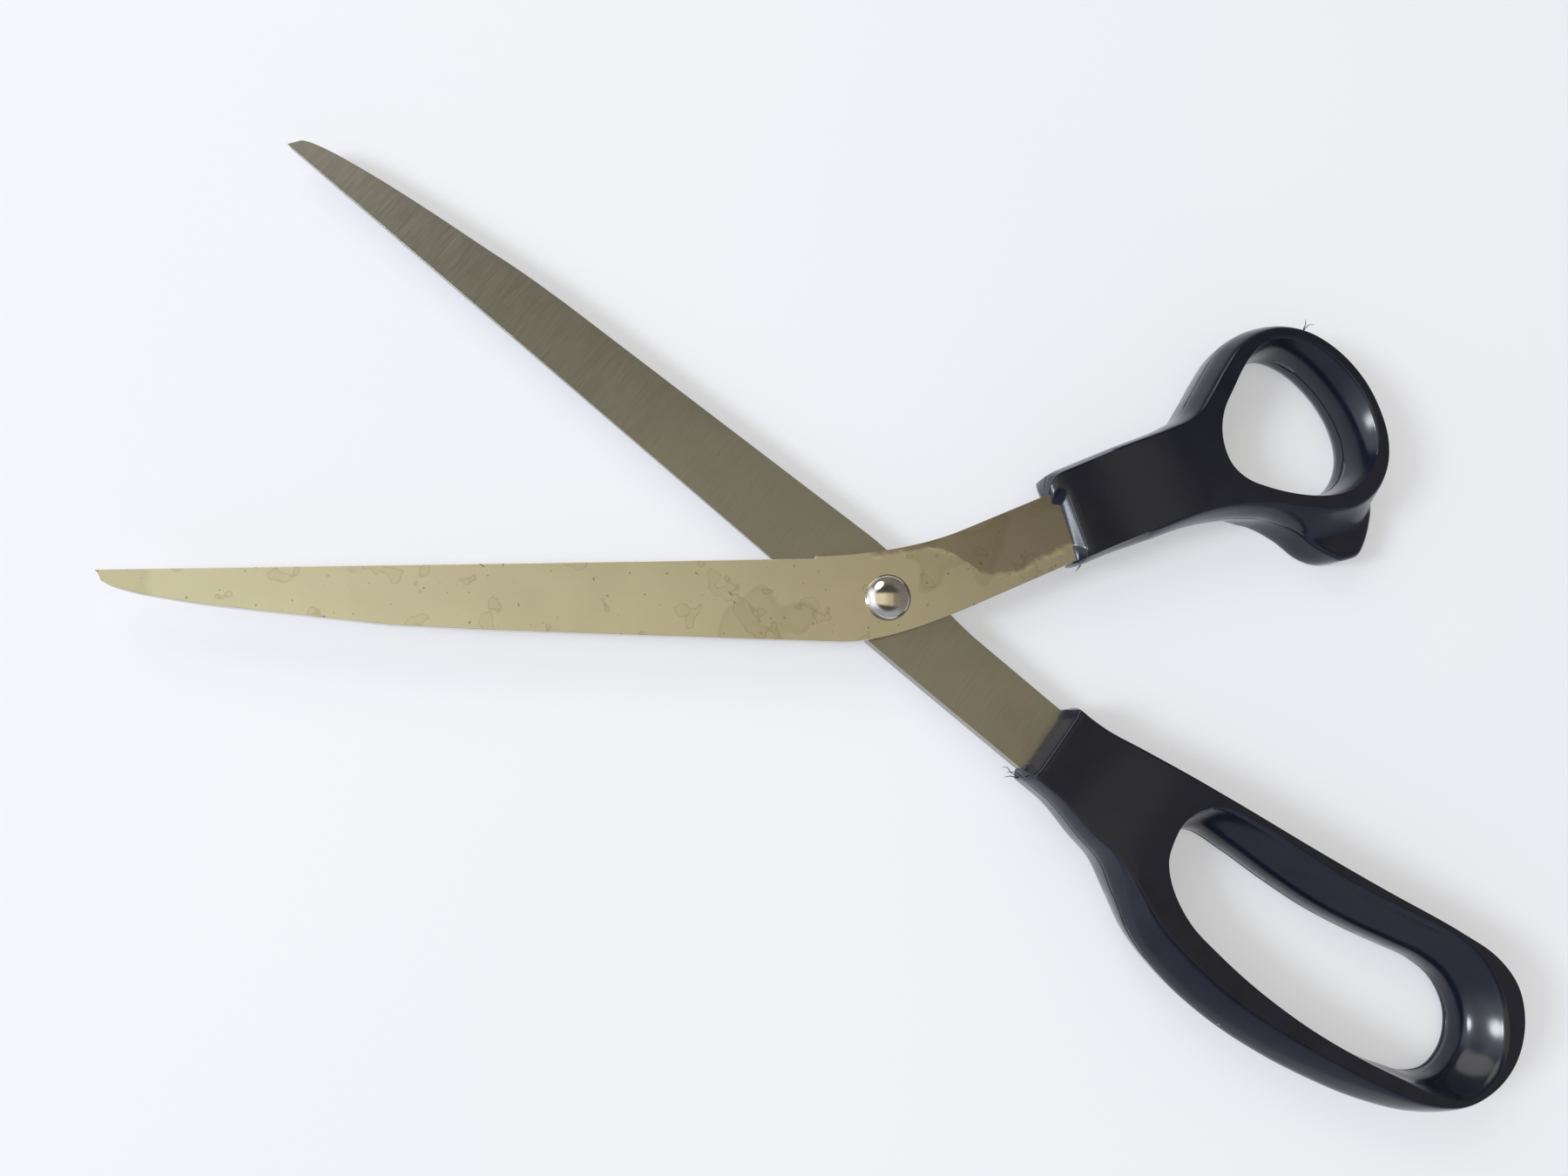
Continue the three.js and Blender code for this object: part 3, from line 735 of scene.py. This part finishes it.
def black_plastic():
    """Glossy black plastic with a bluish bloom, a faint skin texture and rare specks of
    dust."""
    material, nodes, links, shader = new_material("black_plastic")
    place = nodes.new("ShaderNodeTexCoord")
    skin = nodes.new("ShaderNodeTexNoise")
    skin.inputs["Scale"].default_value = 260
    skin.inputs["Detail"].default_value = 4
    links.new(place.outputs["Object"], skin.inputs["Vector"])
    gloss = nodes.new("ShaderNodeMapRange")
    gloss.inputs["To Min"].default_value = 0.14
    gloss.inputs["To Max"].default_value = 0.24
    links.new(skin.outputs["Fac"], gloss.inputs["Value"])
    links.new(gloss.outputs["Result"], shader.inputs["Roughness"])
    shader.inputs["Sheen Weight"].default_value = 0.12
    shader.inputs["Sheen Roughness"].default_value = 0.35
    shader.inputs["Sheen Tint"].default_value = (0.75, 0.8, 1, 1)
    shader.inputs["Specular IOR Level"].default_value = 0.42

    tone = ramp(nodes, [(0.35, (0.005, 0.0062, 0.014, 1)), (0.65, (0.007, 0.0085, 0.018, 1))])
    links.new(skin.outputs["Fac"], tone.inputs["Fac"])
    specks = nodes.new("ShaderNodeTexVoronoi")
    specks.inputs["Scale"].default_value = 260
    links.new(place.outputs["Object"], specks.inputs["Vector"])
    dust = ramp(nodes, [(0.035, (1, 1, 1, 1)), (0.05, (0, 0, 0, 1))])
    links.new(specks.outputs["Distance"], dust.inputs["Fac"])
    rare = nodes.new("ShaderNodeSeparateColor")
    links.new(specks.outputs["Color"], rare.inputs["Color"])
    chosen = ramp(nodes, [(0.93, (0, 0, 0, 1)), (0.94, (1, 1, 1, 1))])
    links.new(rare.outputs["Red"], chosen.inputs["Fac"])
    both = nodes.new("ShaderNodeMath")
    both.operation = "MULTIPLY"
    links.new(dust.outputs["Color"], both.inputs[0])
    links.new(chosen.outputs["Color"], both.inputs[1])
    dusted = nodes.new("ShaderNodeMix")
    dusted.data_type = "RGBA"
    dusted.inputs["B"].default_value = (0.45, 0.46, 0.48, 1)
    links.new(both.outputs["Value"], dusted.inputs["Factor"])
    links.new(tone.outputs["Color"], dusted.inputs["A"])
    links.new(dusted.outputs["Result"], shader.inputs["Base Color"])

    bump = nodes.new("ShaderNodeBump")
    bump.inputs["Strength"].default_value = 0.05
    bump.inputs["Distance"].default_value = 0.02 * mm
    links.new(skin.outputs["Fac"], bump.inputs["Height"])
    links.new(bump.outputs["Normal"], shader.inputs["Normal"])
    return material


plastic = black_plastic()

finger_outline = [
    (MOUTH_LIP, -7.4, 0.8), (7, -7.5, 0.9), (13.8, -8.9, 1.2), (19.2, -9.9, 1.8),
    (24.2, -12.8, 3), (30.6, -16.3, 4), (39.2, -18.2, 4.5), (49.2, -18.6, 4.5), (59.2, -17.6, 4.4),
    (69.2, -15.6, 4), (78.2, -13, 3.2), (87.2, -9, 2), (93.5, -4, 1.3), (96.8, 2.5, 1),
    (97.4, 9, 1), (95.2, 15.2, 1), (90.8, 19.6, 1), (84.7, 21.2, 0.9), (76.2, 20.2, 0.7),
    (60.2, 17, 0.6), (46.7, 14.6, 0.6), (33.2, 12.4, 0.6), (21.2, 10.4, 0.7), (13.2, 9.1, 0.8),
    (7, 7.9, 0.8), (MOUTH_LIP, 7.6, 0.8)]
finger_hole = [
    (26.8, -0.5, 1), (27.6, 2.6, 2.2), (30.8, 5.3, 4), (37.4, 6.3, 5.1), (46.1, 6.9, 5.6),
    (55.1, 7.9, 5.8), (63.6, 9.7, 5.8), (70.7, 11.6, 5.7), (76.7, 13.1, 5.5), (82.1, 13, 5.3),
    (87, 10.3, 5.2), (89.5, 5.5, 5.2), (89, 0.4, 4.1), (85.8, -3, 2.5), (80.7, -5.1, 1.5),
    (73, -7.6, 0.8), (62.2, -9.3, 0.8), (51.2, -9.9, 0.8), (42.2, -9.5, 0.8),
    (35.7, -8.6, 0.8), (30.4, -6, 0.9), (27.6, -3.2, 0.9)][::-1]
finger_lip = [(0, 2.4, 0), (0, 1.5, 0.2), (0.03, 1.2, 0.25), (0.1, 1, 0.3), (0.3, 0.75, 0.35),
              (0.5, 0.45, 0.4), (0.75, 0.1, 0.5), (0.98, 0, 0.6), (1, 0.1, 0.6)]
finger_hairs = [
    [(0.5, -7.4, 1), (-0.6, -7.5, 1.6), (-1.3, -7.7, 1.7), (-2.1, -8.4, 1.4)],
    [(0.3, -7.5, 0.4), (-1.4, -7.9, 0.9), (-2.4, -7.7, 1.2), (-3.2, -8.2, 1.5)],
    [(0.3, -7.6, 0), (-1, -8.3, 0.3), (-1.6, -9, 0.2)]]
finger_shell = moulding(finger_outline, finger_hole, level=-1, lip=finger_lip, slant=0, seed=11,
                        outer_shape=(0.3, 0), inner_shape=(0.62, 0.56), inner_parting=-3.2)
moulded_piece("finger_loop_moulding", finger_shell, "finger_handle", "finger_half",
              turn=(0, math.radians(-2.5)), mouth=34.8, offset=-1, material=plastic,
              hairs=finger_hairs)


# ---- The thumb ring ------------------------------------------------------------------------
# The same plastic injected round the front blade's tang, with a round hole. The stop on its
# inner side is part of the moulding, and meets the finger loop when the blades close.
STOP_SIDE = [(-5.5, 0.93), (-4.8, 1), (-3.6, 0.98), (-2.4, 0.88), (-1.2, 0.72), (0, 0.56),
             (1, 0.42), (2, 0.29), (3, 0.17), (4, 0.07), (5, 0)]
STOP_TIP = [(-5.5, 0.93), (-4.8, 1), (0.2, 1), (0.5, 0.97), (0.75, 0.9), (0.9, 0.8), (1, 0.62),
            (1.15, 0.46), (1.4, 0.34), (1.8, 0.24), (2.4, 0.15), (3.2, 0.07), (4.4, 0)]
STOP_OUTLINE = [
    (32, -10.2), (37, -12.8), (41, -17.4), (43.6, -21.9), (46.2, -23.95), (50, -25.05),
    (52.2, -24.85), (57, -19.9), (59.6, -14.6), (62, -12.9)]


def raise_stop(rings):
    """Moves the part of each ring beside the stop's outline out to it. The two profiles
    say how far, as (height, share): the stop stands up at its tip, and slopes out from
    the ring at its side."""
    goal = flowing([(x, y, 0) for x, y in STOP_OUTLINE], 200, False)
    first, last = STOP_OUTLINE[0][0], STOP_OUTLINE[-1][0]
    for ring in rings:
        x, y, z = ring.T
        fade = np.clip((x - first) / 4, 0, 1) * np.clip((last - x) / 1.6, 0, 1)
        fade = fade * fade * (3 - 2 * fade) * (y < 0)
        reach = np.minimum(np.interp(x, goal[:, 0], goal[:, 1]) - y, 0)
        near_tip = np.clip((x - 42) / 6, 0, 1)
        side, tip = (np.interp(z, *zip(*profile)) for profile in (STOP_SIDE, STOP_TIP))
        ring[:, 1] += reach * (side + (tip - side) * near_tip) * fade


thumb_outline = [
    (MOUTH_LIP, -7, 0.8), (7, -7.1, 0.9), (14.2, -7.6, 1.2), (23.2, -8.3, 1.6), (30.2, -9.8, 2),
    (36.2, -12.2, 2.3), (42.2, -15.4, 2.4), (47.7, -17.6, 2.2), (52.7, -18.2, 2),
    (57.6, -16.8, 1.7), (61.8, -13.2, 1.3), (64.2, -8.6, 1), (65.2, -3, 0.9), (64.8, 3.4, 0.9),
    (62.4, 10, 1), (58.4, 15.3, 1.2), (53.4, 18.4, 1.5), (48.2, 19.3, 1.8), (43, 18.4, 2),
    (38.2, 15.7, 2), (33.5, 12.5, 2), (29.4, 9.9, 1.6), (24.2, 9.2, 1.1), (14.2, 9.3, 0.8),
    (7, 9.3, 0.8), (MOUTH_LIP, 9.3, 0.8)]
thumb_hole = [
    (33.2, -1, 0.9), (33.7, 3.2, 0.9), (35.8, 6.8, 0.9), (39.6, 10, 0.9), (44.2, 13, 1.2),
    (48.4, 14.2, 1.7), (52.3, 13.5, 2), (56.1, 10.1, 2.5), (59, 4, 2.9), (60, -2.4, 2.8),
    (59, -7.8, 2.1), (56.2, -11.4, 1.1), (51.7, -12.8, 0.9), (47.2, -12, 0.9), (42.4, -9.9, 0.9),
    (37.6, -6.8, 0.9), (34.6, -4.1, 0.9)][::-1]
thumb_lip = [(0, 3.1, 0.15), (0.03, 2.4, 0.7), (0.07, 1.9, 1.05), (0.11, 1.6, 1.2),
             (0.2, 1.4, 1.38), (0.26, 1.2, 1.5), (0.45, 0.7, 1.65), (0.65, 0.35, 1.63),
             (0.82, 0.15, 1.5), (0.9, 0.05, 1.5), (0.98, 0, 1.45), (1, 0.1, 1.4)]
thumb_hairs = [
    [(57.2, 14.8, 3.6), (58.4, 15.7, 3.9), (59.2, 16, 4.1), (60.3, 15.7, 4)],
    [(57.8, 15.2, 3.4), (58.9, 16.3, 3.8), (59.2, 17.1, 3.9)],
    [(0.2, -7, 2), (-0.5, -7.3, 2.1), (-0.9, -7.6, 1.8)]]
stop_levels = [height for height, share in STOP_TIP if height > 1]
thumb_shell = moulding(thumb_outline, thumb_hole, level=1, lip=thumb_lip, slant=1.2, seed=23,
                       outer_shape=(0.4, 0), inner_shape=(0.6, 0.3), inner_parting=-1.6,
                       levels=stop_levels, reshape=raise_stop)
moulded_piece("thumb_ring_moulding", thumb_shell, "thumb_handle", "thumb_half",
              turn=(FRONT_BLADE_TURN, FRONT_TANG_TURN), mouth=33.3, offset=-0.6,
              material=plastic, hairs=thumb_hairs)
